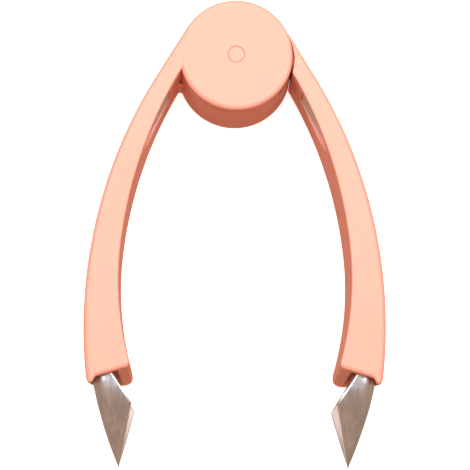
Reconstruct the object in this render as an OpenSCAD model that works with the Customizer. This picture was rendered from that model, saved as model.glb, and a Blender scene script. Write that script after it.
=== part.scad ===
// Sprung clip with two curved arms on a round drum hinge and a folded steel
// gouge blade at the end of each arm. It lies on its back: X is the width,
// Y runs from the blades up to the hub, and Z is the depth, with the back on
// Z = 0. The hinge axis is the Z axis, and the arms are drawn open.

/* [Hub] */
// Radius of the front disc
hub_r = 14.2; // [12.5:0.1:17]
// Overall depth of the hub and the arms
depth = 20; // [18:0.5:25]
// How much wider the drum is at its back, from moulding draft
hub_draft = 0.3; // [0:0.05:0.5]
// Thickness of the front disc
disc_t = 2.2; // [1.6:0.1:2.8]
// Radius on the rim of the front disc
edge_r = 1.4; // [0.8:0.1:1.6]
// Thickness of the drum wall
drum_wall = 1.7; // [1.2:0.1:2.2]
// Gap between the drum and the root of the right arm
drum_gap = 0.45; // [0.3:0.05:0.8]
// Height of the seam between the front and rear shells
seam_z = 9.2; // [8:0.1:9.6]
// Radius of the knuckle that turns on the pin
knuckle_r = 8.5; // [8:0.1:9.5]
// Half of the angle that the knuckle's tongue spans
tongue_half = 8; // [6:0.5:9]
// How far the right arm closes, in degrees
close_angle = 30; // [20:1:30]

/* [Hinge pin and spring] */
// Radius of the hinge pin
pin_r = 2; // [1.5:0.1:2.5]
// Running clearance of the pin in the knuckle
pin_fit = 0.05; // [0.02:0.01:0.1]
// Radius of the boss around the pin
boss_r = 4; // [3.4:0.1:4.4]
// Thickness of each thrust washer
washer_t = 0.5; // [0.4:0.05:0.6]
// Radius of the spring wire
wire_r = 0.55; // [0.4:0.05:0.6]
// Mean radius of the spring coil
coil_r = 6.2; // [6:0.1:6.8]
// Number of turns in the spring
coil_turns = 3; // [2:1:3]

/* [Arms] */
// Half of the width over both arms
half_span = 37; // [33:0.5:42]
// Distance below the hinge axis of the widest place
span_y = 67; // [60:1:74]
// Radius of the arm's outer edge
outer_r = 119.7; // [100:0.1:140]
// Half of the widest gap between the arms
half_gap = 28.6; // [27:0.1:30]
// Distance below the hinge axis of the widest gap
gap_y = 56.2; // [52:0.2:60]
// Radius of the inner edge at the fingers
inner_low_r = 77.5; // [70:0.5:85]
// Radius of the inner edge near the hub
inner_up_r = 110.8; // [100:0.2:120]
// Angle at which the two inner arcs meet
inner_turn = 6.1; // [4:0.1:8]
// Distance below the hinge axis of the arm's end, at the front outer corner
arm_len = 81.7; // [78:0.1:88]
// Thickness of the front wall
front_wall = 1.8; // [1.2:0.1:2]
// Thickness of the back wall
back_wall = 1.6; // [1.2:0.1:2]
// Thickness of the side walls
side_wall = 1.3; // [1:0.1:1.6]

/* [Blades] */
// Thickness of the blade sheet
sheet_t = 0.6; // [0.4:0.05:0.8]
// How far the blade tip stands out past the arm's end
blade_reach = 20.7; // [16:0.1:27]
// Half of the width across the blade tips
tip_x = 28.2; // [26:0.2:31]
// How far past the arm's end the blade is widest
corner_drop = 5.9; // [4:0.1:8]
// Half of the gap between the blades at their widest place
corner_x = 24.9; // [24:0.1:27]
// Radius of the curved spine of the blade
spine_r = 95; // [80:1:120]
// Width of the flat tang that runs up inside the arm
tang_w = 7.4; // [6:0.1:7.8]

/* [Screws] */
// Radius of the screw shank
screw_r = 0.95; // [0.8:0.05:1.1]
// Radius of the screw head
screw_head_r = 1.6; // [1.4:0.1:1.8]

/* [Hidden] */
eps = 0.01;
far = 300;
peach = "#FFC9AD";
steel = "#B9AFA6";

// Heights in the hub
drum_r = hub_r + hub_draft;
bore_r = hub_r - drum_wall;
disc_z = depth - disc_t;
play = 0.05;
knuckle_top = disc_z - washer_t - 2 * play;
boss_top = seam_z - 0.1;
knuckle_z = boss_top + washer_t + 2 * play;
shaft_z = 0.9;
cap_z = depth - 0.9;
cap_play = 0.08;
front_z = depth - front_wall;

// Tongue and its window in the drum wall
tongue_gap = 0.5;
tongue_r = hub_r + 1.1;

// Spring
coil_pitch = 2 * wire_r + 0.25;
coil_top = boss_top - wire_r - 0.3;
coil_low = coil_top - coil_turns * coil_pitch;
tang_hole_r = wire_r + 0.15;
tang_in = 1.8;
pad_r = tang_hole_r + 0.8;
wire_sides = 8;
turn_steps = 20;
low_tang_a = 200;

// Arm outline
out_c = [half_span - outer_r, -span_y];
low_c = [half_gap - inner_low_r, -gap_y];
up_c = low_c - (inner_up_r - inner_low_r) * [cos(inner_turn), sin(inner_turn)];
tangent_a = 31;
hub_tangent = hub_r * [cos(tangent_a), sin(tangent_a)];
arc_start = out_c + outer_r * [cos(tangent_a), sin(tangent_a)];
root_inner = arc_start - 20 * [cos(tangent_a), sin(tangent_a)];
mouth_slope = 17;
mouth_lean = 7;
root_y = -9;
window_low = -25;

// Blade
slack = 0.1;
blade_mid = (back_wall + front_z) / 2;
blade_half = (front_z - back_wall) / 2 - slack;
web_r = outer_r - side_wall - slack;
tip_y = arm_len + blade_reach;
corner_y = arm_len + corner_drop;
blade_top = arm_len - 9.5;
taper_y = corner_y - 3.4;
mouth_y = arm_len - 0.8;
tang_z = seam_z + 0.6;
leg_recess = 0.65;
leg_y = -9.4;
leg_start = [inner_x(leg_y) + leg_recess, leg_y];
web_top = 36;
section_steps = 9;
length_steps = 22;
web_steps = 14;

// Screws: places along the right arm, and heights
screw_at = [[outer_x(-15.5) - 2.5, -15.5], [(inner_x(-52) + outer_x(-52)) / 2 - 0.7, -52]];
post_r = screw_r + 0.75;
tube_r = screw_head_r + 0.75;
head_z = 3.4;
head_t = 1.2;
screw_tip = 14;

// Outer and inner edge of the right arm at height y
function outer_x(y) = out_c.x + sqrt(outer_r * outer_r - (y - out_c.y) * (y - out_c.y));
function up_x(y) = up_c.x + sqrt(inner_up_r * inner_up_r - (y - up_c.y) * (y - up_c.y));
function low_x(y) = low_c.x + sqrt(inner_low_r * inner_low_r - (y - low_c.y) * (y - low_c.y));
function inner_x(y) = y > low_c.y + inner_low_r * sin(inner_turn) ? up_x(y) : low_x(y);

// ---- Shapes used by several pieces ----

// Area on the inner side of the right arm, grown by extra
module inner_field(extra = 0) {
    intersection() {
        translate(low_c) circle(r = inner_low_r + extra, $fn = 240);
        translate(low_c) rotate(inner_turn) translate([0, -far]) square(far);
    }
    intersection() {
        translate(up_c) circle(r = inner_up_r + extra, $fn = 240);
        translate(up_c) rotate(inner_turn) translate([0, -eps]) square(far);
    }
}

// Slanted cut across the arm's open end
module mouth_cutter() {
    translate([half_span, -arm_len, depth])
        rotate([-mouth_lean, 0, -mouth_slope])
            translate([-far / 2, -far, -far / 2]) cube([far, far, far]);
}

// Outline of the right arm: an arc, then a straight run that touches the disc
module arm_plan() {
    difference() {
        union() {
            intersection() {
                translate(out_c) circle(r = outer_r, $fn = 240);
                translate([0, -far]) square([far, far + arc_start.y]);
            }
            polygon([hub_tangent, arc_start, root_inner, [0, 0]]);
        }
        inner_field();
    }
}

// The right arm as one solid, before it is hollowed and parted
module arm_body() {
    difference() {
        linear_extrude(depth) arm_plan();
        mouth_cutter();
    }
}

// Plan of the arm's hollow, with the inner side closed or open
module hollow_plan(inner) {
    difference() {
        intersection() {
            translate(out_c) circle(r = outer_r - side_wall, $fn = 240);
            translate([0, -far]) square([far, far + root_y]);
        }
        inner_field(inner);
    }
}

// Hollow of the arm
module arm_hollow() {
    translate([0, 0, back_wall]) linear_extrude(front_z - back_wall) hollow_plan(side_wall);
}

// Opening in the inner side of the front shell, beside the hub
module side_window() {
    translate([0, 0, seam_z - 1]) linear_extrude(front_z - seam_z + 1)
        intersection() {
            hollow_plan(-1);
            translate([0, window_low]) square([far, root_y - window_low]);
        }
}

// Everything on one side of the seam
module above_seam() { translate([-far, -far, seam_z]) cube([2 * far, 2 * far, far]); }
module below_seam() { translate([-far, -far, seam_z - far]) cube([2 * far, 2 * far, far]); }

// Screw posts in the front shell of the right arm, and their pilot holes
module screw_posts() {
    for (p = screw_at)
        translate([p.x, p.y, seam_z]) cylinder(r = post_r, h = front_z + eps - seam_z, $fn = 32);
}
module pilot_holes() {
    for (p = screw_at)
        translate([p.x, p.y, seam_z - eps]) cylinder(r = screw_r, h = screw_tip + 0.5 - seam_z, $fn = 32);
}

// Screw tubes in the rear shell, and the holes through them
module screw_tubes() {
    for (p = screw_at)
        translate([p.x, p.y, back_wall - eps])
            cylinder(r = tube_r, h = seam_z - back_wall + eps, $fn = 32);
}
module screw_holes() {
    for (p = screw_at) translate([p.x, p.y, -eps]) {
        cylinder(r = screw_r + 0.15, h = far, $fn = 32);
        cylinder(r = screw_head_r + 0.1, h = head_z + eps, $fn = 32);
    }
}

// Wedge of a circle from angle a to angle b
module wedge(r, a, b) {
    m = (a + b) / 2;
    polygon([[0, 0], 2 * r * [cos(a), sin(a)], 2 * r * [cos(m), sin(m)], 2 * r * [cos(b), sin(b)]]);
}

// Front and rear halves of one arm, drawn on the right
module arm_front() {
    difference() {
        union() {
            difference() {
                intersection() { arm_body(); above_seam(); }
                arm_hollow();
                side_window();
            }
            intersection() { screw_posts(); arm_body(); }
        }
        pilot_holes();
    }
}
module arm_rear() {
    difference() {
        union() {
            difference() {
                intersection() { arm_body(); below_seam(); }
                arm_hollow();
            }
            intersection() { screw_tubes(); arm_body(); }
        }
        screw_holes();
    }
}

// Outside of the drum: a drafted cylinder with a rounded front rim
module drum_outside() {
    rotate_extrude($fn = 120) difference() {
        union() {
            polygon([[0, 0], [drum_r, 0], [hub_r, depth - edge_r], [0, depth - edge_r]]);
            translate([0, depth - edge_r - eps]) square([hub_r - edge_r, edge_r + eps]);
            translate([hub_r - edge_r, depth - edge_r]) circle(r = edge_r, $fn = 48);
        }
        translate([-far, -1]) square([far, far]);
    }
}

// Clearance round the drum for the root of the right arm
module drum_clearance() {
    translate([0, 0, -eps])
        cylinder(r1 = drum_r + drum_gap, r2 = hub_r + drum_gap, h = depth + 2 * eps, $fn = 120);
}

// ---- Blades ----

// Spine of the blade: an arc that leaves the web at the mouth and ends at the tip
spine_top = [out_c.x + sqrt(web_r * web_r - (mouth_y - span_y) * (mouth_y - span_y)), -mouth_y];
spine_tip = [tip_x, -tip_y];
chord = norm(spine_tip - spine_top);
chord_a = atan2(spine_tip.y - spine_top.y, spine_tip.x - spine_top.x);
spine_c = (spine_top + spine_tip) / 2
    + sqrt(spine_r * spine_r - chord * chord / 4) * [cos(chord_a - 90), sin(chord_a - 90)];
function web_x(y) = out_c.x + sqrt(web_r * web_r - (y + span_y) * (y + span_y));
function spine_x(y) = y > -mouth_y ? web_x(y)
    : spine_c.x + sqrt(spine_r * spine_r - (y - spine_c.y) * (y - spine_c.y));

// Edge of the flanks: it runs out from the web to the corner and back to the tip
function edge_x(y) = y > -corner_y
    ? corner_x + (spine_x(-blade_top) - 0.8 - corner_x) * (y + corner_y) / (corner_y - blade_top)
    : corner_x + (tip_x - corner_x) * (y + corner_y) / (corner_y - tip_y);
function half_width(y) = y > -taper_y ? blade_half
    : max(sheet_t * 0.75, blade_half * (tip_y + y) / (tip_y - taper_y));

// One trough section at y, inset by t; u runs from -1 at the rear edge to 1 at the front
function trough_point(y, u, t) = let (
        w = half_width(y) - t,
        d = max(spine_x(y) - edge_x(y) - 0.02, 0.5),
        k = pow(max(1 - pow(abs(u), 3), 0), 1 / 3))
    [spine_x(y) - min(t, d * 0.7) - (d - min(t, d * 0.7)) * (1 - k), y, blade_mid + w * u];
function trough_ring(y) = let (
        us = [for (i = [0 : section_steps * 2]) sin(90 * (i / section_steps - 1))])
    concat([for (u = us) trough_point(y, u, 0)],
           [for (i = [len(us) - 1 : -1 : 0]) trough_point(y, us[i], min(sheet_t, half_width(y) * 0.6))]);

// Closed skin over a list of rings that all have the same number of points
module skin(rings) {
    n = len(rings[0]);
    m = len(rings);
    points = [for (r = rings) for (p = r) p];
    sides = [for (j = [0 : m - 2]) for (i = [0 : n - 1])
        let (a = j * n + i, b = j * n + (i + 1) % n)
        each [[a, b, b + n], [a, b + n, a + n]]];
    polyhedron(points, concat(sides, [[for (i = [n - 1 : -1 : 0]) i]],
        [[for (i = [0 : n - 1]) (m - 1) * n + i]]), convexity = 8);
}

module trough() {
    ys = [for (i = [0 : length_steps]) -tip_y + (tip_y - blade_top) * i / length_steps];
    skin([for (y = ys) trough_ring(y)]);
}

// Tang: a flat strip that follows the web and then runs straight to the hub
function web_point(y, r) = [out_c.x + sqrt(r * r - (y + span_y) * (y + span_y)), y];
tang_line = concat(
    [for (i = [0 : web_steps])
        let (y = -blade_top - 2 + (blade_top + 2 - web_top) * i / web_steps) web_point(y, web_r - sheet_t * 0.72)],
    [leg_start]);
module tang() {
    n = len(tang_line) - 1;
    skin([for (i = [0 : n])
        let (d = tang_line[min(i + 1, n)] - tang_line[max(i - 1, 0)],
             side = sheet_t / 2 / norm(d) * [d.y, -d.x])
        [for (c = [[1, 0], [1, 1], [-1, 1], [-1, 0]])
            [tang_line[i].x + c[0] * side.x, tang_line[i].y + c[0] * side.y, tang_z + c[1] * tang_w]]]);
}

module blade() {
    color(steel) {
        trough();
        tang();
    }
}

module arm_screws() {
    color(steel) for (p = screw_at) translate([p.x, p.y, 0]) {
        translate([0, 0, head_z]) cylinder(r = screw_r, h = screw_tip - head_z, $fn = 32);
        difference() {
            translate([0, 0, head_z - head_t]) cylinder(r = screw_head_r, h = head_t, $fn = 32);
            for (a = [0, 90]) translate([0, 0, head_z - head_t]) rotate(a)
                cube([screw_head_r * 1.3, 0.5, 1], center = true);
        }
    }
}

// ---- Sub-parts ----

module left_front_shell() {
    color(peach) difference() {
        union() {
            difference() {
                union() {
                    mirror([1, 0, 0]) arm_front();
                    intersection() { drum_outside(); above_seam(); }
                }
                translate([0, 0, -eps]) cylinder(r = bore_r, h = disc_z + eps, $fn = 120);
            }
        }
        translate([0, 0, seam_z - eps]) linear_extrude(disc_z - seam_z + eps) difference() {
            intersection() {
                circle(r = drum_r + 1, $fn = 96);
                wedge(drum_r, -tongue_half - close_angle - tongue_gap, tongue_half + tongue_gap);
            }
            circle(r = bore_r - 1, $fn = 96);
        }
        cylinder(r = pin_r, h = far, $fn = 48);
        translate([0, 0, cap_z]) cylinder(r = pin_r + cap_play, h = far, $fn = 48);
    }
}

module left_rear_shell() {
    color(peach) {
        difference() {
            union() {
                mirror([1, 0, 0]) arm_rear();
                intersection() { drum_outside(); below_seam(); }
            }
            translate([0, 0, back_wall]) cylinder(r = bore_r, h = far, $fn = 120);
        }
        translate([0, 0, back_wall - eps]) difference() {
            cylinder(r = boss_r, h = boss_top - back_wall + eps, $fn = 48);
            translate([0, 0, -eps]) cylinder(r = pin_r, h = far, $fn = 48);
        }
        rotate(low_tang_a) translate([coil_r, 0, back_wall - eps]) difference() {
            cylinder(r = pad_r, h = coil_low - wire_r - 0.3 - back_wall, $fn = 32);
            translate([0, 0, 0.3]) cylinder(r = tang_hole_r, h = far, $fn = 32);
        }
    }
}

module left_blade() { mirror([1, 0, 0]) blade(); }
module right_blade() { blade(); }
module left_screws() { mirror([1, 0, 0]) arm_screws(); }
module right_screws() { arm_screws(); }

module right_front_shell() {
    color(peach) difference() {
        union() {
            difference() {
                arm_front();
                drum_clearance();
            }
            translate([0, 0, knuckle_z]) linear_extrude(knuckle_top - knuckle_z) {
                circle(r = knuckle_r, $fn = 96);
                intersection() {
                    circle(r = tongue_r, $fn = 96);
                    wedge(tongue_r, -tongue_half, tongue_half);
                }
            }
        }
        cylinder(r = pin_r + pin_fit, h = far, $fn = 48);
        rotate(low_tang_a + 360 * coil_turns) translate([coil_r, 0, knuckle_z - eps])
            cylinder(r = tang_hole_r, h = tang_in + 0.3, $fn = 32);
    }
}

module right_rear_shell() {
    color(peach) difference() {
        arm_rear();
        drum_clearance();
    }
}

module hinge_pin() {
    color(steel) translate([0, 0, back_wall])
        cylinder(r = pin_r, h = cap_z - back_wall, $fn = 48);
}

module pin_cap() {
    color(peach) translate([0, 0, cap_z])
        cylinder(r = pin_r, h = depth - cap_z - 0.06, $fn = 48);
}

module washer(z) {
    translate([0, 0, z]) difference() {
        cylinder(r = boss_r - 0.2, h = washer_t, $fn = 48);
        translate([0, 0, -eps]) cylinder(r = pin_r + pin_fit, h = washer_t + 2 * eps, $fn = 48);
    }
}
module front_washer() { color("#EFE9DC") washer(knuckle_top + play); }
module rear_washer() { color("#EFE9DC") washer(boss_top + play); }

// Spring: a round wire wound round the boss, with a straight tang at each end
function coil_out(a) = [cos(low_tang_a + a), sin(low_tang_a + a), 0];
function coil_along(a) = [-sin(low_tang_a + a), cos(low_tang_a + a), 0];
function coil_z(a) = coil_low + coil_pitch * a / 360;
function wire_ring(centre, side, up) = [for (i = [0 : wire_sides - 1])
    centre + wire_r * (cos(360 * i / wire_sides) * side + sin(360 * i / wire_sides) * up)];
function tang_ring(a, z) = wire_ring(coil_r * coil_out(a) + [0, 0, z], coil_out(a), -coil_along(a));
function coil_ring(a) = wire_ring(coil_r * coil_out(a) + [0, 0, coil_z(a)], coil_out(a), [0, 0, 1]);
module torsion_spring() {
    steps = coil_turns * turn_steps;
    last = 360 * coil_turns;
    color(steel) skin(concat(
        [tang_ring(0, back_wall + 0.5), tang_ring(0, coil_low - wire_r)],
        [for (k = [1 : steps - 1]) coil_ring(k * 360 / turn_steps)],
        [tang_ring(last, coil_top + wire_r), tang_ring(last, knuckle_z + tang_in)]));
}

left_front_shell();
left_rear_shell();
left_blade();
left_screws();
hinge_pin();
pin_cap();
torsion_spring();
front_washer();
rear_washer();
right_front_shell();
right_rear_shell();
right_blade();
right_screws();
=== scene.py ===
import math

import bmesh
import bpy
import numpy as np
from mathutils import Matrix, Vector


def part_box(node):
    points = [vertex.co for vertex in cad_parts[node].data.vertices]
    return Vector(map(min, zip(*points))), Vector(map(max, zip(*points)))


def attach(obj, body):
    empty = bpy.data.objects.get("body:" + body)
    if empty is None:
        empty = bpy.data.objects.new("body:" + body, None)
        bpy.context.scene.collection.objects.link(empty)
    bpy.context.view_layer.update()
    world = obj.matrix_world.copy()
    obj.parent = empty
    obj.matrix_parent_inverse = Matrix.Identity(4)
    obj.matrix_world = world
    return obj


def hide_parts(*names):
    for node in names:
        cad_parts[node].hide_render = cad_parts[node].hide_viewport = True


# Looks of a sprung gouge clip: two hollow plastic arms on a round drum hinge, with a folded
# steel blade in the end of each. It lies on its back, X across, Y up the arms, Z to the front.

bl_info = {
    "name": "Sprung gouge clip",
    "version": (1, 0, 0),
    "blender": (4, 5, 0),
    "location": "3D View > Sidebar > Clip",
    "description": "Builds the shells, blades, fittings and stage of a sprung gouge clip",
    "category": "Object",
}

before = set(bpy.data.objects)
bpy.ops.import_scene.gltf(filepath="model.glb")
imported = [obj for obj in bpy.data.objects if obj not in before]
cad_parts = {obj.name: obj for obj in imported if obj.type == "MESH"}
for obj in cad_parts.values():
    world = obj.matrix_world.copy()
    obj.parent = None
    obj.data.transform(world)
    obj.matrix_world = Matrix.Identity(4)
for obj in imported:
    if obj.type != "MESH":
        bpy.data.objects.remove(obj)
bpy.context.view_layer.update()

MM = 0.001
# Corners closer together than this are merged after a join or a cut, which closes most of the
# slivers that it leaves.
SLIVER = 0.004 * MM
# Bevel along the seam of every shell.
NICK = 0.1 * MM
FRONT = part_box("left_front_shell")[1].z
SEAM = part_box("left_front_shell")[0].z
DRUM_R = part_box("left_rear_shell")[1].y
HALF_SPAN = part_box("right_front_shell")[1].x
PIN_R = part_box("hinge_pin")[1].x
FLOOR_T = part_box("hinge_pin")[0].z
CAP_LOW, CAP_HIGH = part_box("pin_cap")[0].z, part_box("pin_cap")[1].z
BLADE_TIP = -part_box("right_blade")[0].y
# Rear and front edge of the tangs, between the seam and the front wall.
TANG_LOW_Z, TANG_HIGH_Z = 9.8 * MM, 17.2 * MM


def linear(code):
    """Turns an sRGB hex colour into linear RGBA: below a knee a straight line, above it a power."""
    part = [int(code[i:i + 2], 16) / 255 for i in (1, 3, 5)]
    return (*[c / 12.92 if c <= 0.04045 else ((c + 0.055) / 1.055) ** 2.4 for c in part], 1.0)


def length(name, description, default):
    """A size in metres that shows in scene units."""
    return bpy.props.FloatProperty(name=name, description=description, default=default,
                                   unit="LENGTH", subtype="DISTANCE", precision=5)


def tint(name, description, code):
    """A colour that is given as sRGB hex and kept as linear RGBA."""
    return bpy.props.FloatVectorProperty(name=name, description=description, size=4,
                                         subtype="COLOR", min=0, max=1, default=linear(code))


class ClipHub(bpy.types.PropertyGroup):
    """Sizes of the drum, its disc, the running gap, the boss round the pin and the knuckle."""
    draft: length("Draft", "How much narrower the drum is at its front", 0.3 * MM)
    rim: length("Rim radius", "Radius on the edge of the disc", 1.2 * MM)
    step: length("Step", "How far the disc stands out over the drum wall", 0.5 * MM)
    wall: length("Drum wall", "Thickness of the drum wall", 1.7 * MM)
    disc: length("Disc", "Thickness of the front disc", 2.2 * MM)
    gap: length("Running gap", "Gap between the drum and the right arm", 0.45 * MM)
    boss: length("Boss radius", "Radius of the boss round the pin", 4 * MM)
    knuckle: length("Knuckle radius", "Radius of the knuckle on the pin", 8.5 * MM)


class ClipArm(bpy.types.PropertyGroup):
    """Sizes of the two arms."""
    span_y: length("Widest place", "Distance below the hinge of the widest place", 67 * MM)
    outer_r: length("Outer radius", "Radius of the outer edge", 119.7 * MM)
    gap_half: length("Half gap", "Half of the widest gap between the arms", 28.6 * MM)
    gap_y: length("Gap height", "Distance below the hinge of the widest gap", 56.2 * MM)
    low_r: length("Lower inner radius", "Radius of the inner edge at the fingers", 77.5 * MM)
    up_r: length("Upper inner radius", "Radius of the inner edge near the hub", 110.8 * MM)
    end: length("Arm end", "Distance below the hinge of the arm's outer front corner", 81.7 * MM)
    front_wall: length("Front wall", "Thickness of the front wall", 1.8 * MM)
    back_wall: length("Back wall", "Thickness of the back wall", 1.6 * MM)
    side_wall: length("Side wall", "Thickness of the side walls", 1.3 * MM)
    outer_edge: length("Outer edge radius", "Radius along the outer edges", 1.6 * MM)
    inner_edge: length("Inner edge radius", "Radius along the inner edges", 0.45 * MM)
    lip: length("Mouth radius", "Radius round the open end", 0.95 * MM)
    mouth_wall: length("Mouth wall", "Extra thickness of the inner wall at the mouth", 2.2 * MM)


class ClipBlade(bpy.types.PropertyGroup):
    """Sizes of the two blades."""
    sheet: length("Sheet", "Thickness of the sheet", 0.6 * MM)
    tip_x: length("Tip", "Half of the width across the tips", 28.2 * MM)
    corner_x: length("Corner", "Half of the gap between the blades", 24.9 * MM)
    corner_y: length("Corner height", "Distance below the hinge of the widest place", 87.6 * MM)
    spine_r: length("Spine radius", "Radius of the curved spine", 95 * MM)
    bend: length("Bend", "Radius of the fold along the spine", 3.4 * MM)
    bevel: length("Ground bevel", "Width of the ground band on the upper edges", 0.45 * MM)


class ClipFinish(bpy.types.PropertyGroup):
    """Colours of the finishes."""
    plastic: tint("Plastic", "Peach moulded plastic", "#EFA695")
    plastic_deep: tint("Plastic, deeper", "Where the plastic is a little deeper", "#EE9F8D")
    steel: tint("Blade steel", "Brushed stainless sheet", "#DDF0FF")
    steel_dark: tint("Blade steel, dark", "Dark streaks of the brushing", "#C6D6E4")
    ground: tint("Ground edge", "Freshly ground steel", "#F2F1EF")
    bright: tint("Bright steel", "Drawn and turned steel", "#C9C6C1")
    nylon: tint("Nylon", "Natural nylon", "#ECE6D8")
    floor: tint("Floor", "Paper floor", "#FAFAFA")


# ---- Outline of an arm, drawn on the right; every function takes and gives whole arrays ----

# Angle at which the outer edge becomes straight, and angle at which the inner edge changes radius.
TANGENT = math.radians(31)
INNER_TURN = math.radians(6.1)
# Above this height no lengthwise line of an arm is looked for on the drum.
HIGHEST_Y = 7.3 * MM
# The mouth slopes at the front, and this power of the height above the floor fades the slope out.
MOUTH_SLOPE, MOUTH_FADE = math.radians(17), 0.8
# Beside the outer wall the mouth runs lower: from LIP_NEAR off the outer edge, in a step LIP_EASE
# wide, by LIP_DROP millimetres at the front, and by LIP_RISE millimetres less everywhere.
LIP_NEAR, LIP_EASE = 2.5 * MM, 1.3 * MM
LIP_DROP, LIP_RISE = 1.6, 0.3
# Radii of the mouth's corners in plan: at the inner wall one that shrinks towards the front, in
# millimetres, and at the outer wall the same all the way.
INNER_CORNER, INNER_CORNER_LOSS = 3.0, 2.2
OUTER_CORNER = 0.6 * MM
# How far below the hinge the inner wall begins to thicken, and over what length.
THICKENS_AT, THICKENS_OVER = 68 * MM, 10 * MM
# Round of the hollow's corners, and the least radius of any corner of a section.
HOLLOW_R, LEAST_R = 0.3 * MM, 0.05 * MM


def outer_x(arm, y):
    """Outer edge at height y: a circle about a point left of the axis, and above its angle of
    31 degrees the tangent that touches the disc."""
    cx, cy = HALF_SPAN - arm.outer_r, -arm.span_y
    start_y = cy + arm.outer_r * math.sin(TANGENT)
    start_x = cx + arm.outer_r * math.cos(TANGENT)
    round_x = cx + np.sqrt(arm.outer_r ** 2 - (np.minimum(y, start_y) - cy) ** 2)
    return np.where(y > start_y, start_x - (y - start_y) * math.tan(TANGENT), round_x)


def inner_x(arm, y):
    """Inner edge at height y: a small circle at the fingers that runs on into a larger one."""
    cx, cy = arm.gap_half - arm.low_r, -arm.gap_y
    ux = cx - (arm.up_r - arm.low_r) * math.cos(INNER_TURN)
    uy = cy - (arm.up_r - arm.low_r) * math.sin(INNER_TURN)
    meet = cy + arm.low_r * math.sin(INNER_TURN)
    low = cx + np.sqrt(np.maximum(arm.low_r ** 2 - (y - cy) ** 2, 0))
    up = ux + np.sqrt(np.maximum(arm.up_r ** 2 - (y - uy) ** 2, 0))
    return np.where(y > meet, up, low)


def across(arm, y, share, inset):
    """Point at height y that lies a share of the way from the inner to the outer edge, moved by inset."""
    return inner_x(arm, y) * (1 - share) + outer_x(arm, y) * share + inset


def root_y(arm, share, inset, radius):
    """Height where a lengthwise line of the arm meets a circle about the hinge, by halving."""
    low = np.full_like(share, -9 * MM)
    high = -2 * MM + (HIGHEST_Y + 2 * MM) * share
    for _ in range(40):
        middle = (low + high) / 2
        outside = across(arm, middle, share, inset) ** 2 + middle ** 2 > radius ** 2
        low, high = np.where(outside, middle, low), np.where(outside, high, middle)
    return low


def mouth_y(arm, share, inset, z):
    """Height where a lengthwise line meets the mouth, which slopes at the front and is square behind.
    Beside the outer wall it runs lower by a smooth step, three t squared less two t cubed. Each of
    the two corners lifts the end by r minus the root of r squared minus the rest squared."""
    slope = math.tan(MOUTH_SLOPE)
    y = np.full_like(share, -arm.end)
    for _ in range(6):
        x = across(arm, y, share, inset)
        y = -arm.end - slope * (x - HALF_SPAN) * np.clip(z / FRONT, 0, 1) ** MOUTH_FADE
    beside = np.clip((LIP_NEAR - outer_x(arm, y) + x) / LIP_EASE, 0, 1)
    y = y - beside ** 2 * (3 - 2 * beside) * (LIP_DROP * z / FRONT - LIP_RISE) * MM
    inner_r = (INNER_CORNER - INNER_CORNER_LOSS * z / FRONT) * MM
    for gap, r in ((x - inner_x(arm, y), inner_r), (outer_x(arm, y) - x, OUTER_CORNER)):
        rest = np.clip(r - gap, 0, r)
        y = y + r - np.sqrt(r ** 2 - rest ** 2)
    return y


def half_section(arm, front, shrink, swell):
    """Closed C-shaped section of a front or rear shell, as share, inset and z.
    It goes from the inner seam over the rounded corners to the outer seam, and back inside the wall.
    shrink draws the outside in and swell draws the hollow out, for the rounded ends."""
    face, sign = (FRONT, -1) if front else (0.0, 1)
    face_wall = arm.front_wall if front else arm.back_wall
    height = abs(FRONT - SEAM) if front else SEAM
    turn = np.linspace(0, math.pi / 2, 9)
    flat = np.linspace(0, 1, 21)[1:-1]
    wall = np.linspace(1, 0, 9)[:-1]

    def contour(side, top, r_in, r_out, cut):
        zeros, ones = np.zeros(1), np.ones(1)
        down_in = top + r_in + wall * (height - NICK - top - r_in)
        down_out = top + r_out + wall[::-1] * (height - NICK - top - r_out)
        share = np.concatenate([zeros, 0 * wall, 0 * turn, flat, 0 * turn + 1, 0 * wall + 1, ones])
        inset = np.concatenate([
            zeros + side + cut, 0 * wall + side, side + r_in * (1 - np.cos(turn)),
            (side + r_in) * (1 - flat) - (side + r_out) * flat,
            -side - r_out * (1 - np.cos(turn[::-1])), 0 * wall - side, -side - cut * ones])
        depth = np.concatenate([
            zeros + height, down_in, top + r_in * (1 - np.sin(turn)), 0 * flat + top,
            top + r_out * (1 - np.sin(turn[::-1])), down_out, ones * height])
        return share, inset, face + sign * depth

    outside = contour(shrink, shrink, max(arm.inner_edge - shrink, LEAST_R),
                      max(arm.outer_edge - shrink, LEAST_R), NICK)
    inside = contour(arm.side_wall - swell, face_wall - swell, HOLLOW_R, HOLLOW_R, 0)
    return [np.concatenate([a, b[::-1]]) for a, b in zip(outside, inside)]


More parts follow.
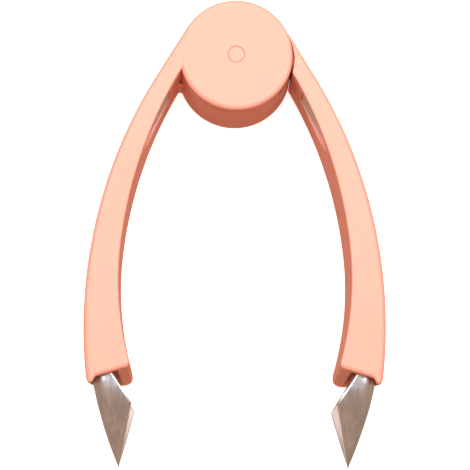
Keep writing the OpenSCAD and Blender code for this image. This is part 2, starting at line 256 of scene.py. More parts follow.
def arm_rings(arm, front, root_radius, hub_gap_taper, root_round):
    """Rings of a half arm: its section carried from a circle about the hinge down to the mouth.
    At both ends the wall is thinned along a quarter circle, so that the ends are rounded, and the
    rings of the mouth take their height from the thinned section plus the rise of the round. The
    inner wall thickens towards the mouth, and the gap at the hub closes towards the outer edge."""
    share, inset, z = half_section(arm, front, 0, 0)
    inside = np.arange(len(share)) >= len(share) // 2
    start = root_y(arm, share, inset, root_radius - hub_gap_taper * share ** 3)
    end = mouth_y(arm, share, inset + arm.mouth_wall * (1 - share) * inside, z)
    quarter = np.linspace(0, math.pi / 2, 7)
    rings = []

    def ring(y, shrink, swell, rise=None):
        s, i, h = half_section(arm, front, shrink, swell)
        near_mouth = np.clip((-y - THICKENS_AT) / THICKENS_OVER, 0, 1)
        i = i + arm.mouth_wall * near_mouth ** 2 * (3 - 2 * near_mouth) * (1 - s) * inside
        if rise is not None:
            y = mouth_y(arm, s, i, h) + rise
        rings.append(np.stack([across(arm, y, s, i), y, h], 1))

    for a in quarter[:-1]:
        ring(start - root_round * (1 - math.cos(a)), root_round * (1 - math.sin(a)), 0)
    first, last = start - root_round, end + arm.lip
    for t in np.linspace(0, 1, 90):
        ring(first + (last - first) * t, 0, 0)
    for a in quarter[::-1][1:]:
        fall = 1 - math.sin(a)
        ring(end, arm.lip * fall, HOLLOW_R * fall, arm.lip * (1 - math.cos(a)))
    return np.array(rings)


# ---- Making meshes ----

def skin_faces(rows, columns, c_shaped):
    """Quads between the rings of a grid that closes on itself, and its two ends. A C-shaped ring
    is closed by quads between its outside and its inside, and any other ring by one face."""
    j, i = np.meshgrid(np.arange(rows - 1), np.arange(columns), indexing="ij")
    here, beside = j * columns + i, j * columns + (i + 1) % columns
    faces = np.stack([here, beside, beside + columns, here + columns], -1).reshape(-1, 4).tolist()
    last = (rows - 1) * columns
    if c_shaped:
        k = np.arange(columns // 2 - 1)
        end = np.stack([k, columns - 1 - k, columns - 2 - k, k + 1], 1)
        faces += end.tolist() + (end[:, ::-1] + last).tolist()
    else:
        faces += [list(range(columns))[::-1], [last + n for n in range(columns)]]
    return faces


def new_piece(name, points, faces, finishes=None):
    """A mesh object at the origin, with doubles merged and its faces turned outwards. finishes
    gives the number of each face's material, and the faces after its end have the first."""
    mesh = bpy.data.meshes.new(name)
    mesh.from_pydata(np.asarray(points).reshape(-1, 3).tolist(), [], faces)
    if finishes is not None:
        numbers = np.zeros(len(faces), np.int32)
        numbers[:len(finishes)] = finishes
        mesh.polygons.foreach_set("material_index", numbers)
    b = bmesh.new()
    b.from_mesh(mesh)
    bmesh.ops.remove_doubles(b, verts=b.verts, dist=1e-7)
    bmesh.ops.recalc_face_normals(b, faces=b.faces)
    b.to_mesh(mesh)
    b.free()
    piece = bpy.data.objects.new(name, mesh)
    bpy.context.scene.collection.objects.link(piece)
    return piece


def swept(name, rings, c_shaped=False, finishes=None):
    """A closed piece from an array of rings."""
    rings = np.asarray(rings)
    return new_piece(name, rings, skin_faces(rings.shape[0], rings.shape[1], c_shaped), finishes)


def turned(name, profile, sides=160, centre=(0, 0)):
    """A profile of radius and height turned once about an upright axis. A profile whose ends are both
    on the axis closes there, and any other one closes on itself as a ring."""
    r, z = np.array(profile).T
    a = np.arange(sides) * 2 * math.pi / sides
    grid = np.stack([centre[0] + np.outer(np.cos(a), r), centre[1] + np.outer(np.sin(a), r),
                     np.tile(z, (sides, 1))], -1)
    on_axis = r[0] == 0 and r[-1] == 0
    n = len(r)
    j, i = np.meshgrid(np.arange(sides), np.arange(n - 1 if on_axis else n), indexing="ij")
    k, m = (j + 1) % sides, (i + 1) % n
    faces = np.stack([j * n + i, k * n + i, k * n + m, j * n + m], -1).reshape(-1, 4)
    return new_piece(name, grid, faces.tolist())


def arc(cx, cy, r, start, end, steps=9):
    """Points of an arc, from one angle in degrees to another."""
    a = np.radians(np.linspace(start, end, steps))
    return [(cx + r * math.cos(t), cy + r * math.sin(t)) for t in a]


def combine(piece, others, operation):
    """Joins closed pieces to a piece, or cuts them from it, keeps only the result, and closes most
    of the slivers that are left where two faces almost touch."""
    for other in others:
        step = piece.modifiers.new("shape", "BOOLEAN")
        step.operation, step.solver, step.object = operation, "EXACT", other
    bpy.context.view_layer.update()
    done = bpy.data.meshes.new_from_object(
        piece.evaluated_get(bpy.context.evaluated_depsgraph_get()))
    piece.modifiers.clear()
    b = bmesh.new()
    b.from_mesh(done)
    bmesh.ops.remove_doubles(b, verts=b.verts, dist=SLIVER)
    bmesh.ops.dissolve_degenerate(b, edges=b.edges, dist=SLIVER)
    b.to_mesh(done)
    b.free()
    piece.data = done
    for other in others:
        bpy.data.objects.remove(other)
    return piece


def mirrored(piece):
    """The piece on the left: its mesh turned over in X, with the faces' order reversed."""
    piece.data.transform(Matrix.Scale(-1, 4, (1, 0, 0)))
    piece.data.flip_normals()
    return piece


def finish_piece(piece, materials, body, replaced, sharp=35):
    """Smooths a piece up to an angle, gives it its finishes and ties it to the frame."""
    numbers = np.zeros(len(piece.data.polygons), np.int32)
    piece.data.polygons.foreach_get("material_index", numbers)
    piece.data.materials.clear()
    for material in materials:
        piece.data.materials.append(material)
    piece.data.polygons.foreach_set("material_index", numbers % len(materials))
    piece.data.shade_smooth()
    piece.data.set_sharp_from_angle(angle=math.radians(sharp))
    even = piece.modifiers.new("even normals", "WEIGHTED_NORMAL")
    even.keep_sharp = True
    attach(piece, body)
    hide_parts(replaced)
    return piece


# ---- Materials ----

# Marks on the metals: their least and greatest roughness, and how far apart they are in millimetres.
GROUND_MARKS, SATIN_MARKS, DRAWN_MARKS = (0.12, 0.2, 0.3), (0.5, 0.62, 0.4), (0.2, 0.32, 0.5)


def add(tree, kind, settings=None, links=None):
    """Adds a node, sets its properties and inputs, and links its inputs from other nodes' outputs."""
    node = tree.nodes.new(kind)
    for key, value in (settings or {}).items():
        if key in node.inputs:
            node.inputs[key].default_value = value
        else:
            setattr(node, key, value)
    for key, source in (links or {}).items():
        tree.links.new(source, node.inputs[key])
    return node


def blank(name):
    """An empty node material with an output."""
    material = bpy.data.materials.new(name)
    material.use_nodes = True
    material.node_tree.nodes.clear()
    return material, material.node_tree


def moulded_abs(finish):
    """ABS, injection moulded in a finely spark-eroded tool: an even satin skin whose light goes a
    little way in, so its shaded sides look warm. The grain is 0.25 mm and very shallow, drawn
    coarser than real spark grain so that it shows."""
    material, tree = blank("moulded_abs_peach")
    place = add(tree, "ShaderNodeTexCoord").outputs["Object"]
    cloud = add(tree, "ShaderNodeTexNoise", {"Scale": 1 / (18 * MM), "Detail": 2.0}, {"Vector": place})
    colour = add(tree, "ShaderNodeMix",
                 {"data_type": "RGBA", "A": tuple(finish.plastic), "B": tuple(finish.plastic_deep)},
                 {"Factor": cloud.outputs["Fac"]})
    grain = add(tree, "ShaderNodeTexNoise", {"Scale": 1 / (0.25 * MM), "Detail": 3.0}, {"Vector": place})
    bump = add(tree, "ShaderNodeBump", {"Strength": 0.12, "Distance": 0.02 * MM},
               {"Height": grain.outputs["Fac"]})
    rough = add(tree, "ShaderNodeMapRange", {"To Min": 0.42, "To Max": 0.54},
                {"Value": grain.outputs["Fac"]})
    shader = add(tree, "ShaderNodeBsdfPrincipled",
                 {"IOR": 1.53, "Subsurface Weight": 0.12, "Subsurface Scale": 1.2 * MM,
                  "Subsurface Radius": (1.0, 0.35, 0.2)},
                 {"Base Color": colour.outputs[2], "Roughness": rough.outputs["Result"],
                  "Normal": bump.outputs["Normal"]})
    add(tree, "ShaderNodeOutputMaterial", {}, {"Surface": shader.outputs["BSDF"]})
    return material


def brushed_steel(finish):
    """Stainless steel sheet, rolled and brushed along the blade: a soft metal sheen drawn out
    across the brushing, with streaks 0.7 mm wide that run the length of the blade."""
    material, tree = blank("brushed_stainless_sheet")
    place = add(tree, "ShaderNodeTexCoord").outputs["Object"]
    streak_place = add(tree, "ShaderNodeMapping", {"Scale": (1, 0.04, 1)}, {"Vector": place})
    streak = add(tree, "ShaderNodeTexNoise", {"Scale": 1 / (0.7 * MM), "Detail": 3.0},
                 {"Vector": streak_place.outputs["Vector"]})
    wide = add(tree, "ShaderNodeTexNoise", {"Scale": 1 / (3.2 * MM), "Detail": 1.0},
               {"Vector": streak_place.outputs["Vector"]})
    both = add(tree, "ShaderNodeMath", {"operation": "MULTIPLY"})
    tree.links.new(streak.outputs["Fac"], both.inputs[0])
    tree.links.new(wide.outputs["Fac"], both.inputs[1])
    spread = add(tree, "ShaderNodeMapRange", {"From Min": 0.15, "From Max": 0.4},
                 {"Value": both.outputs[0]})
    colour = add(tree, "ShaderNodeMix",
                 {"data_type": "RGBA", "A": tuple(finish.steel_dark), "B": tuple(finish.steel)},
                 {"Factor": spread.outputs["Result"]})
    rough = add(tree, "ShaderNodeMapRange", {"To Min": 0.26, "To Max": 0.38},
                {"Value": streak.outputs["Fac"]})
    bump = add(tree, "ShaderNodeBump", {"Strength": 0.15, "Distance": 0.01 * MM},
               {"Height": streak.outputs["Fac"]})
    shader = add(tree, "ShaderNodeBsdfPrincipled", {"Metallic": 1.0},
                 {"Base Color": colour.outputs[2], "Roughness": rough.outputs["Result"],
                  "Normal": bump.outputs["Normal"]})
    add(tree, "ShaderNodeOutputMaterial", {}, {"Surface": shader.outputs["BSDF"]})
    return material


def plain_metal(name, colour_value, low, high, grain_mm):
    """Turned, drawn or ground steel: bright, with fine marks that vary its roughness between low
    and high, grain_mm apart."""
    material, tree = blank(name)
    place = add(tree, "ShaderNodeTexCoord").outputs["Object"]
    marks = add(tree, "ShaderNodeTexNoise", {"Scale": 1 / (grain_mm * MM), "Detail": 3.0},
                {"Vector": place})
    rough = add(tree, "ShaderNodeMapRange", {"To Min": low, "To Max": high},
                {"Value": marks.outputs["Fac"]})
    shader = add(tree, "ShaderNodeBsdfPrincipled",
                 {"Metallic": 1.0, "Base Color": tuple(colour_value)},
                 {"Roughness": rough.outputs["Result"]})
    add(tree, "ShaderNodeOutputMaterial", {}, {"Surface": shader.outputs["BSDF"]})
    return material


def moulded_nylon(finish):
    """Natural nylon, moulded and slightly waxy, so that light goes well into it."""
    material, tree = blank("moulded_nylon_natural")
    place = add(tree, "ShaderNodeTexCoord").outputs["Object"]
    marks = add(tree, "ShaderNodeTexNoise", {"Scale": 1 / (0.4 * MM), "Detail": 2.0}, {"Vector": place})
    rough = add(tree, "ShaderNodeMapRange", {"To Min": 0.35, "To Max": 0.5},
                {"Value": marks.outputs["Fac"]})
    shader = add(tree, "ShaderNodeBsdfPrincipled",
                 {"IOR": 1.53, "Base Color": tuple(finish.nylon), "Subsurface Weight": 0.3,
                  "Subsurface Scale": 1 * MM},
                 {"Roughness": rough.outputs["Result"]})
    add(tree, "ShaderNodeOutputMaterial", {}, {"Surface": shader.outputs["BSDF"]})
    return material


def paper_floor(finish):
    """Matt seamless paper, whose roughness varies a little, in patches 4 mm across. It glows by
    itself as a lit panel does, so that it stays white round the clip."""
    material, tree = blank("seamless_paper")
    place = add(tree, "ShaderNodeTexCoord").outputs["Object"]
    marks = add(tree, "ShaderNodeTexNoise", {"Scale": 1 / (4 * MM)}, {"Vector": place})
    rough = add(tree, "ShaderNodeMapRange", {"To Min": 0.85, "To Max": 0.95},
                {"Value": marks.outputs["Fac"]})
    shader = add(tree, "ShaderNodeBsdfPrincipled",
                 {"Base Color": tuple(finish.floor), "Emission Color": tuple(finish.floor),
                  "Emission Strength": 0.7},
                 {"Roughness": rough.outputs["Result"]})
    add(tree, "ShaderNodeOutputMaterial", {}, {"Surface": shader.outputs["BSDF"]})
    return material


def made(name, maker, *details):
    """The material of that name, made the first time that it is wanted."""
    return bpy.data.materials.get(name) or maker(*details)


# ---- Pieces ----

# Where the screws of the right arm stand, their sizes, and how far their bores reach.
SCREWS = ((22.85 * MM, -15.5 * MM), (31.57 * MM, -52.0 * MM))
SCREW_R, HEAD_R, HEAD_TOP, BORE_TOP = 0.95 * MM, 1.6 * MM, 3.4 * MM, 14.5 * MM
SCREW_SIDES = 48
# Wall of the posts and tubes, how deep they run into the arm's wall, and how far from the seam
# they stop.
POST_WALL, POST_SUNK, POST_SHORT = 0.75 * MM, 0.3 * MM, 0.05 * MM
# Room round a screw's shank and head, and the bevel of the hole it goes into.
SHANK_ROOM, HEAD_ROOM, HEAD_BEVEL = 0.15 * MM, 0.1 * MM, 0.3 * MM
# Root of the left arm: how deep it runs into the drum's wall, and the round of its end. Root of
# the right one: the round of its end, how much the running gap closes towards the outer edge, and
# the share of that gap that is left at the rear.
LEFT_ROOT_IN, LEFT_ROOT_ROUND = 0.73 * MM, 0.02 * MM
RIGHT_ROOT_ROUND, GAP_CLOSES, REAR_GAP = 0.25 * MM, 0.33 * MM, 0.4
# Room between a blade and the walls it lies against.
BLADE_ROOM = 0.1 * MM


def side_window(arm):
    """Cutter for the opening in the inner wall beside the hub, where the tang shows. Its rear edge
    rises towards the fingers by the fifth power of the way down, so the opening narrows to a point
    under the front wall."""
    y = np.linspace(-9 * MM, -25 * MM, 24)
    t = (y - y[0]) / (y[-1] - y[0])
    over_seam, rise_mm = 0.4 * MM, 7.4
    low = SEAM + over_seam + t ** 5 * rise_mm * MM
    high = FRONT - arm.front_wall
    edge = inner_x(arm, y)
    out_of_wall, through_wall = -2.5 * MM, 1.6 * MM
    corners = ((out_of_wall, 0), (through_wall, 0), (through_wall, 1), (out_of_wall, 1))
    rings = np.stack([np.stack([edge + out, y, low + (high - low) * up], 1) for out, up in corners], 1)
    return swept("window", rings)


def drum_front(hub):
    """Front of the drum: the disc with its rounded rim and the hole for the cap, and the wall below."""
    radius = DRUM_R - hub.draft
    bore, bore_r = radius - hub.wall, 0.4 * MM
    under, under_bevel = FRONT - hub.disc, 0.2 * MM
    hole, hole_r = PIN_R + 0.08 * MM, 0.15 * MM
    edge = radius + hub.draft * (FRONT - hub.rim - SEAM) / (FRONT - hub.rim)
    profile = [(hole, under), (hole, FRONT - hole_r)]
    profile += arc(hole + hole_r, FRONT - hole_r, hole_r, 180, 90, 5)[1:]
    # Rings on the flat front, so that its triangles aren't long and thin.
    profile += [(radius - hub.rim - d * MM, FRONT) for d in (7, 4, 1.5, 0.4)]
    profile += arc(radius - hub.rim, FRONT - hub.rim, hub.rim, 90, 0, 14)
    profile += [(radius, under + under_bevel), (radius - under_bevel, under),
                (radius - hub.step, under)]
    profile += [(edge, SEAM + NICK), (edge - NICK, SEAM), (bore, SEAM)]
    profile += arc(bore - bore_r, under - bore_r, bore_r, 0, 90, 6)
    return turned("drum_front", profile)


def drum_rear(hub):
    """Rear of the drum: the floor, the wall, and the boss that holds the pin."""
    edge = DRUM_R - hub.draft * SEAM / (FRONT - hub.rim)
    bore = DRUM_R - hub.draft - hub.wall
    round_r = 0.5 * MM
    boss_top = SEAM - NICK
    # Two rings on the flat floor, so that its triangles aren't long and thin.
    profile = [(0, 0), (6 * MM, 0), (12 * MM, 0)]
    profile += arc(DRUM_R - round_r, round_r, round_r, -90, 0, 8)
    profile += [(edge, SEAM - NICK), (edge - NICK, SEAM), (bore, SEAM), (bore, FLOOR_T),
                (hub.boss, FLOOR_T), (hub.boss, boss_top), (PIN_R, boss_top), (PIN_R, FLOOR_T),
                (0, FLOOR_T)]
    return turned("drum_rear", profile)


def arm_half(name, arm, hub, front, right):
    """One half of an arm with its fastenings: screw posts in front, tubes and stepped holes behind.
    The right one ends at the running gap round the drum, and the left one inside the drum's wall."""
    if right:
        middle = (FRONT + SEAM) / 2 if front else SEAM / 2
        radius = DRUM_R - hub.draft * middle / FRONT + hub.gap * (1 if front else REAR_GAP)
        rings = arm_rings(arm, front, radius, GAP_CLOSES, RIGHT_ROOT_ROUND)
    else:
        radius = DRUM_R - hub.draft - LEFT_ROOT_IN
        rings = arm_rings(arm, front, radius, 0.0, LEFT_ROOT_ROUND)
    piece = swept(name, rings, True)
    tubes, holes = [], []
    for x, y in SCREWS:
        if front:
            foot, top, r = SEAM + POST_SHORT, FRONT - arm.front_wall + POST_SUNK, SCREW_R + POST_WALL
            tubes.append(turned("post", [(0, foot), (r, foot), (r, top), (0, top)],
                                SCREW_SIDES, (x, y)))
            holes.append(turned("bore", [(0, SEAM - MM), (SCREW_R, SEAM - MM), (SCREW_R, BORE_TOP),
                                         (0, BORE_TOP)], SCREW_SIDES, (x, y)))
        else:
            low, top, r = arm.back_wall - POST_SUNK, SEAM - POST_SHORT, HEAD_R + POST_WALL
            tubes.append(turned("tube", [(0, low), (r, low), (r, top), (0, top)],
                                SCREW_SIDES, (x, y)))
            shank, head = SCREW_R + SHANK_ROOM, HEAD_R + HEAD_ROOM
            holes.append(turned("hole", [(0, -MM), (head + HEAD_BEVEL, -MM), (head + HEAD_BEVEL, 0),
                                         (head, HEAD_BEVEL), (head, HEAD_TOP), (shank, HEAD_TOP),
                                         (shank, SEAM + MM), (0, SEAM + MM)],
                                SCREW_SIDES, (x, y)))
    combine(piece, tubes, "UNION")
    combine(piece, holes + ([side_window(arm)] if front else []), "DIFFERENCE")
    return piece


def knuckle(hub):
    """Knuckle of the right arm, which turns on the pin, with the tongue that reaches it through
    the window in the drum."""
    room_below, room_above, pin_room = 0.5 * MM, 0.6 * MM, 0.05 * MM
    low, high = SEAM + room_below, FRONT - hub.disc - room_above
    hole = PIN_R + pin_room
    disc = turned("knuckle", [(hole, low), (hub.knuckle, low), (hub.knuckle, high), (hole, high)], 96)
    half, into_knuckle, past_drum = math.radians(8), 0.6 * MM, 0.9 * MM
    r_in, r_out = hub.knuckle - into_knuckle, DRUM_R + past_drum
    plan = np.array([(r_in, -half), (r_out, -half), (r_out, half), (r_in, half)])
    xy = np.stack([plan[:, 0] * np.cos(plan[:, 1]), plan[:, 0] * np.sin(plan[:, 1])], 1)
    rings = [np.column_stack([xy, np.full(4, z)]) for z in (low, high)]
    return combine(disc, [swept("tongue", rings)], "UNION")


def valley_fillet(arm):
    """Upright bar that rounds the valley between the drum and the inner wall of an arm. Its open side
    is the arc of a circle that touches both; the circle's centre is found by halving its height.
    Behind the arc the bar is sunk into the drum and into the wall."""
    r = 0.7 * MM
    low, high = -14 * MM, -4 * MM
    for _ in range(40):
        cy = (low + high) / 2
        cx = math.sqrt((DRUM_R + r) ** 2 - cy ** 2)
        below, above = inner_x(arm, np.array([cy - r, cy + r]))
        lean = math.atan2(below - above, 2 * r)
        apart = ((below + above) / 2 - cx) * math.cos(lean)
        low, high = (cy, high) if apart > r else (low, cy)
    on_drum, on_wall = math.atan2(-cy, -cx), lean
    a = np.linspace(on_wall, on_drum, 14)
    plan = np.stack([cx + r * np.cos(a), cy + r * np.sin(a)], 1)
    sunk, along_wall, closes_above = 0.6 * MM, 0.3 * MM, 1.2 * MM
    into_drum = plan[-1] * (1 - sunk / DRUM_R)
    into_wall = plan[0] + np.array([sunk, along_wall])
    plan = np.vstack([plan, into_drum, [into_wall[0], into_drum[1] + closes_above], into_wall])
    over_floor, under_seam = 0.4 * MM, SEAM - NICK
    rings = [np.column_stack([plan, np.full(len(plan), z)]) for z in (over_floor, under_seam)]
    return swept("fillet", rings)


def drum_window(hub):
    """Cutter for the opening in the drum's wall that the tongue sweeps through: a block bent round
    the hinge from one angle to another, which passes the wall on both sides and the seam."""
    start, end = math.radians(-38.5), math.radians(8.5)
    a = np.linspace(start, end, 16)
    past_seam, inside_wall, outside_wall = 0.5 * MM, 4 * MM, 1.2 * MM
    low, high = SEAM - past_seam, FRONT - hub.disc
    r_in, r_out = DRUM_R - inside_wall, DRUM_R + outside_wall
    corners = ((r_in, low), (r_out, low), (r_out, high), (r_in, high))
    rings = np.stack([np.stack([r * np.cos(a), r * np.sin(a), np.full_like(a, z)], 1)
                      for r, z in corners], 1)
    return swept("drum_window", rings)


def blade_surface(blade, arm):
    """Folded blade, as its rings and the finish of each face: at each height a U of sheet, open
    towards the middle of the clip. Its back follows the spine, two quarter circles bend it into the
    flanks, and the flanks run to the ground edges. Towards the tip the U closes like a pointed arch:
    its width falls by a power of the way to the tip. Beside the mouth the front flank swells, by e
    to the minus of the squared distance over the squared width of the swelling. The finishes are 0
    for brushed, 1 for ground and 2 for the inside."""
    mid = (arm.back_wall + FRONT - arm.front_wall) / 2
    widest = (FRONT - arm.front_wall - arm.back_wall) / 2 - BLADE_ROOM
    web_r = arm.outer_r - arm.side_wall - BLADE_ROOM
    in_mouth, leaves_wall, starts_taper, fine_tip = 9.5 * MM, 0.8 * MM, 1.2 * MM, 1.5 * MM
    top, tip = -(arm.end - in_mouth), -BLADE_TIP
    leave, taper = -(arm.end - leaves_wall), -(arm.end + starts_taper)
    cx, cy = HALF_SPAN - arm.outer_r, -arm.span_y
    y = np.concatenate([np.linspace(tip, tip + fine_tip, 12)[:-1],
                        np.linspace(tip + fine_tip, top, 130)])

    def web(at):
        """Inner face of the arm's outer wall, where the blade's back lies."""
        return cx + np.sqrt(web_r ** 2 - (at - cy) ** 2)

    start, end = np.array([web(leave), leave]), np.array([blade.tip_x, tip])
    chord = np.linalg.norm(end - start)
    along = (end - start) / chord
    normal = np.array([along[1], -along[0]])
    centre = (start + end) / 2 + math.sqrt(blade.spine_r ** 2 - chord ** 2 / 4) * normal
    spine = np.where(y > leave, web(y),
                     centre[0] + np.sqrt(blade.spine_r ** 2 - (y - centre[1]) ** 2))
    closing = np.clip((taper - y) / (taper - tip), 0, 1)
    arch_power, tip_half = 1.6, 0.3 * MM
    width = np.maximum(widest * (1 - closing ** arch_power), tip_half)

    def edge(drop, shift):
        """Open edge of the U: straight down to its corner, and straight on to the tip."""
        corner = -blade.corner_y - drop
        top_depth, least_depth = 0.8 * MM, 0.25 * MM
        reach_up = web(top) - top_depth - blade.corner_x - shift
        reach_down = blade.tip_x - blade.corner_x - shift
        up = blade.corner_x + shift + reach_up * (y - corner) / (top - corner)
        down = blade.corner_x + shift + reach_down * (y - corner) / (tip - corner)
        return np.minimum(np.where(y > corner, up, down), spine - least_depth)

    # Share of the ground bands' depth: all of it above the corner, little below, a ramp between.
    ramp_half, ramp, share_below = 0.4 * MM, 0.8 * MM, 0.15
    ground = np.clip((y + blade.corner_y + ramp_half) / ramp, share_below, 1)
    turn = np.linspace(0, math.pi / 2, 12)
    flat = np.linspace(0, 1, 26)
    least_half, least_bend = 0.08 * MM, 0.3 * MM
    back_share, bend_share, bunching = 0.4, 0.85, 1.3
    ground_depth, crown_depth = 0.16 * MM, 0.12 * MM
    swell_x, swell_height, swell_width = 31.7 * MM, 0.08 * MM, 1.1 * MM
    # Which way each flank lies, and how much lower and further out its corner is: the rear one first.
    flanks = ((-1, 0.6 * MM, -0.3 * MM), (1, -0.6 * MM, 0.15 * MM))

    def contour(inset):
        """Points of the U at every height, drawn in by inset, from the rear edge to the front edge."""
        half = np.maximum(width - inset, least_half)
        back = spine - np.minimum(inset, (spine - edge(0, 0)) * back_share)
        sides = []
        for sign, drop, shift in flanks:
            lip = edge(drop, shift)
            bend = np.minimum(np.maximum(blade.bend - inset, least_bend),
                              np.minimum(half, back - lip) * bend_share)
            x_flat = lip[:, None] + (back - bend - lip)[:, None] * flat[None, :] ** bunching
            from_edge = x_flat - lip[:, None]
            fall = np.clip(1 - from_edge / blade.bevel, 0, 1) * (ground_depth if inset == 0 else 0)
            crown = crown_depth * (1 - flat[None, :]) ** 2
            shape = np.minimum(half / widest, 1)[:, None]
            z_flat = half[:, None] - (fall * ground[:, None] + crown) * shape
            x_turn = (back - bend)[:, None] + bend[:, None] * np.sin(turn)[None, :]
            z_turn = (half - bend)[:, None] + bend[:, None] * np.cos(turn)[None, :]
            x = np.concatenate([x_flat, x_turn[:, 1:]], 1)
            z = np.concatenate([z_flat, z_turn[:, 1:]], 1)
            if sign > 0:
                spot = (x - swell_x) ** 2 + (y[:, None] + arm.end) ** 2
                z = z + swell_height * np.exp(-spot / swell_width ** 2)
            sides.append((x, mid + sign * z))
        (xr, zr), (xf, zf) = sides
        return np.concatenate([xr, xf[:, ::-1]], 1), np.concatenate([zr, zf[:, ::-1]], 1)

    xo, zo = contour(0)
    xi, zi = contour(blade.sheet)
    thinned_share = 0.6
    shrink = np.minimum(blade.sheet, width * thinned_share)[:, None]
    xi = xo + (xi - xo) * shrink / blade.sheet
    zi = zo + (zi - zo) * shrink / blade.sheet
    x = np.concatenate([xo, xi[:, ::-1]], 1)
    z = np.concatenate([zo, zi[:, ::-1]], 1)
    columns, edge_columns = x.shape[1], 4
    outside = columns // 2
    finishes = np.where(np.arange(columns) >= outside, 2, 0)
    finishes[:edge_columns] = 1
    finishes[outside - edge_columns:outside] = 1
    finishes[columns - edge_columns:columns - 1] = 0
    finishes[columns - 1] = 1
    return np.stack([x, np.repeat(y[:, None], columns, 1), z], 2), np.tile(finishes, len(y) - 1)


def tang_surface(blade, arm):
    """Tang of the blade: a flat strip that follows the arm's outer wall and then runs straight to
    the hub, inside the inner wall."""
    into_sheet = 0.72
    web_r = arm.outer_r - arm.side_wall - BLADE_ROOM - blade.sheet * into_sheet
    cx, cy = HALF_SPAN - arm.outer_r, -arm.span_y
    in_mouth, leaves_wall_y = 7.5 * MM, -36 * MM
    y = np.linspace(-arm.end + in_mouth, leaves_wall_y, 30)
    x = cx + np.sqrt(web_r ** 2 - (y - cy) ** 2)
    leg = np.linspace(0, 1, 12)[1:]
    end_y, off_inner_edge = -9.4 * MM, 0.65 * MM
    end_x = inner_x(arm, np.array([end_y]))[0] + off_inner_edge
    line = np.stack([np.append(x, x[-1] + (end_x - x[-1]) * leg),
                     np.append(y, y[-1] + (end_y - y[-1]) * leg)], 1)
    way = np.gradient(line, axis=0)
    side = np.stack([way[:, 1], -way[:, 0]], 1) / np.linalg.norm(way, axis=1)[:, None]
    corners = ((0.5, TANG_LOW_Z), (0.5, TANG_HIGH_Z), (-0.5, TANG_HIGH_Z), (-0.5, TANG_LOW_Z))
    return np.stack([np.column_stack([line + side * blade.sheet * s, np.full(len(line), z)])
                     for s, z in corners], 1)


# ---- Operators ----

class CLIP_OT_front_shells(bpy.types.Operator):
    """Front halves of both arms; the left one carries the disc, the right one the knuckle"""
    bl_idname = "clip.front_shells"
    bl_label = "Front shells"

    def execute(self, context):
        arm, hub, finish = context.scene.clip_arm, context.scene.clip_hub, context.scene.clip_finish
        abs_peach = made("moulded_abs_peach", moulded_abs, finish)
        left = mirrored(arm_half("left_front_moulding", arm, hub, True, False))
        combine(left, [drum_front(hub)], "UNION")
        combine(left, [drum_window(hub)], "DIFFERENCE")
        finish_piece(left, [abs_peach], "left_arm", "left_front_shell")
        right = arm_half("right_front_moulding", arm, hub, True, True)
        combine(right, [knuckle(hub)], "UNION")
        finish_piece(right, [abs_peach], "right_arm", "right_front_shell")
        return {"FINISHED"}


class CLIP_OT_rear_shells(bpy.types.Operator):
    """Rear halves of both arms; the left one carries the drum and the boss for the pin"""
    bl_idname = "clip.rear_shells"
    bl_label = "Rear shells"

    def execute(self, context):
        arm, hub, finish = context.scene.clip_arm, context.scene.clip_hub, context.scene.clip_finish
        abs_peach = made("moulded_abs_peach", moulded_abs, finish)
        left = mirrored(arm_half("left_rear_moulding", arm, hub, False, False))
        combine(left, [drum_rear(hub), mirrored(valley_fillet(arm))], "UNION")
        finish_piece(left, [abs_peach], "left_arm", "left_rear_shell")
        right = arm_half("right_rear_moulding", arm, hub, False, True)
        finish_piece(right, [abs_peach], "right_arm", "right_rear_shell")
        return {"FINISHED"}


class CLIP_OT_blades(bpy.types.Operator):
    """Folded steel blades with their tangs"""
    bl_idname = "clip.blades"
    bl_label = "Blades"

    def execute(self, context):
        scene = context.scene
        arm, blade, finish = scene.clip_arm, scene.clip_blade, scene.clip_finish
        steel = made("brushed_stainless_sheet", brushed_steel, finish)
        ground = made("ground_steel_edge", plain_metal, "ground_steel_edge", finish.ground,
                      *GROUND_MARKS)
        satin = made("satin_stainless_inside", plain_metal, "satin_stainless_inside", finish.ground,
                     *SATIN_MARKS)
        rings, finishes = blade_surface(blade, arm)
        for side, body in (("left", "left_arm"), ("right", "right_arm")):
            piece = swept(side + "_gouge", rings, True, finishes)
            combine(piece, [swept("tang", tang_surface(blade, arm))], "UNION")
            if side == "left":
                mirrored(piece)
            finish_piece(piece, [steel, ground, satin], body, side + "_blade")
        return {"FINISHED"}


class CLIP_OT_pin_cap(bpy.types.Operator):
    """Cap in the middle of the disc, over the end of the pin"""
    bl_idname = "clip.pin_cap"
    bl_label = "Pin cap"

    def execute(self, context):
        finish = context.scene.clip_finish
        abs_peach = made("moulded_abs_peach", moulded_abs, finish)
        round_r = 0.15 * MM
        profile = [(0, CAP_LOW), (PIN_R, CAP_LOW), (PIN_R, CAP_HIGH - round_r)]
        profile += arc(PIN_R - round_r, CAP_HIGH - round_r, round_r, 0, 90, 6)[1:]
        profile += [(1.2 * MM, CAP_HIGH), (0, CAP_HIGH)]
        cap = turned("centre_cap", profile, 96)
        finish_piece(cap, [abs_peach], "left_arm", "pin_cap")
        return {"FINISHED"}


class CLIP_OT_fittings(bpy.types.Operator):
    """Finishes of the pin, the spring, the washers and the screws, which keep their own meshes"""
    bl_idname = "clip.fittings"
    bl_label = "Fittings"

    def execute(self, context):
        finish = context.scene.clip_finish
        drawn = made("drawn_steel", plain_metal, "drawn_steel", finish.bright, *DRAWN_MARKS)
        nylon = made("moulded_nylon_natural", moulded_nylon, finish)
        for name in ("hinge_pin", "torsion_spring", "left_screws", "right_screws",
                     "front_washer", "rear_washer"):
            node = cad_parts[name]
            node.data.materials.clear()
            node.data.materials.append(nylon if "washer" in name else drawn)
        return {"FINISHED"}


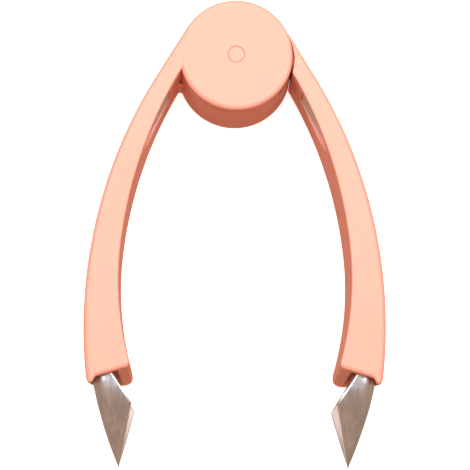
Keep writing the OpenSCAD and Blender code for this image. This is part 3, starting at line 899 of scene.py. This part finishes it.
# Soft boxes over the clip: where each stands, how wide it is, its power in watts, and whether it
# shows in reflections.
SOFT_BOXES = {"left_box": ((-0.28, 0.16, 0.5), 0.24, 1.55, True),
              "right_box": ((0.28, 0.16, 0.5), 0.24, 1.55, True),
              "far_box": ((0, 0.32, 0.5), 0.25, 0.8, True),
              "top_box": ((0, -0.03, 0.6), 0.3, 1.8, False)}
LIGHTS_AIM = Vector((0, -0.045, 0.01))
FLOOR_HALF = 3.0
# Warm light that comes evenly from all round.
ROOM_COLOUR = (0.51, 0.28, 0.18, 1)
# The camera: its lens in millimetres, where it stands, its right and its up, and its turn.
SENSOR_MM, LENS_MM = 36.0, 137.87
CAMERA_PLACE = (-0.01334, -0.11972, 0.45593)
CAMERA_RIGHT, CAMERA_UP = Vector((0.99958, -0.00482, 0.02847)), Vector((0, 0.98595, 0.1670))
CAMERA_TURN = math.radians(0.53)
NEAREST, FARTHEST = 0.01, 10


class CLIP_OT_stage(bpy.types.Operator):
    """White floor that glows and neither lights the clip nor is reflected in it, soft boxes over
    the clip, warm light all round, and the camera almost straight above"""
    bl_idname = "clip.stage"
    bl_label = "Stage"

    def execute(self, context):
        scene, half = context.scene, FLOOR_HALF
        corners = [(-half, -half, 0), (half, -half, 0), (half, half, 0), (-half, half, 0)]
        paper = new_piece("floor", corners, [[0, 1, 2, 3]])
        paper.data.materials.append(paper_floor(scene.clip_finish))
        paper.visible_diffuse = paper.visible_glossy = False
        for name, (place, size, power, reflected) in SOFT_BOXES.items():
            lamp = bpy.data.lights.new(name, "AREA")
            lamp.size, lamp.energy = size, power
            holder = bpy.data.objects.new(name, lamp)
            holder.location = place
            holder.rotation_mode = "QUATERNION"
            holder.rotation_quaternion = (LIGHTS_AIM - Vector(place)).to_track_quat("-Z", "Y")
            holder.visible_glossy = reflected
            scene.collection.objects.link(holder)
        world = bpy.data.worlds.new("studio")
        world.use_nodes = True
        world.node_tree.nodes["Background"].inputs["Color"].default_value = ROOM_COLOUR
        world.node_tree.nodes["Background"].inputs["Strength"].default_value = 1.0
        scene.world = world
        scene.view_settings.view_transform = "Standard"
        lens = bpy.data.cameras.new("camera")
        lens.sensor_width, lens.lens = SENSOR_MM, LENS_MM
        lens.clip_start, lens.clip_end = NEAREST, FARTHEST
        eye = bpy.data.objects.new("camera", lens)
        back = CAMERA_RIGHT.cross(CAMERA_UP).normalized()
        facing = Matrix((CAMERA_RIGHT, back.cross(CAMERA_RIGHT), back)).transposed().to_4x4()
        turn = Matrix.Rotation(CAMERA_TURN, 4, "Z")
        eye.matrix_world = turn @ Matrix.Translation(CAMERA_PLACE) @ facing
        scene.collection.objects.link(eye)
        scene.camera = eye
        return {"FINISHED"}


class CLIP_PT_build(bpy.types.Panel):
    """Sizes and finishes of the clip, with a button for each group of pieces"""
    bl_label = "Sprung clip"
    bl_idname = "CLIP_PT_build"
    bl_space_type = "VIEW_3D"
    bl_region_type = "UI"
    bl_category = "Clip"

    def draw(self, context):
        for group in GROUPS:
            box = self.layout.box()
            settings = getattr(context.scene, group)
            for name in settings.bl_rna.properties.keys():
                if name not in ("rna_type", "name"):
                    box.prop(settings, name)
        for operator in OPERATORS:
            self.layout.operator(operator.bl_idname)


GROUPS = {"clip_hub": ClipHub, "clip_arm": ClipArm, "clip_blade": ClipBlade, "clip_finish": ClipFinish}
OPERATORS = (CLIP_OT_front_shells, CLIP_OT_rear_shells, CLIP_OT_blades, CLIP_OT_pin_cap,
             CLIP_OT_fittings, CLIP_OT_stage)


def register():
    """Registers the classes and hangs the settings on the scene."""
    for group in (*GROUPS.values(), *OPERATORS, CLIP_PT_build):
        bpy.utils.register_class(group)
    for name, group in GROUPS.items():
        setattr(bpy.types.Scene, name, bpy.props.PointerProperty(type=group))


def unregister():
    """Takes the settings and the classes away again."""
    for name in GROUPS:
        delattr(bpy.types.Scene, name)
    for group in (CLIP_PT_build, *reversed(OPERATORS), *GROUPS.values()):
        bpy.utils.unregister_class(group)


def main():
    """Builds every piece and the stage."""
    register()
    bpy.ops.clip.front_shells()
    bpy.ops.clip.rear_shells()
    bpy.ops.clip.blades()
    bpy.ops.clip.pin_cap()
    bpy.ops.clip.fittings()
    bpy.ops.clip.stage()


if __name__ == "__main__":
    main()
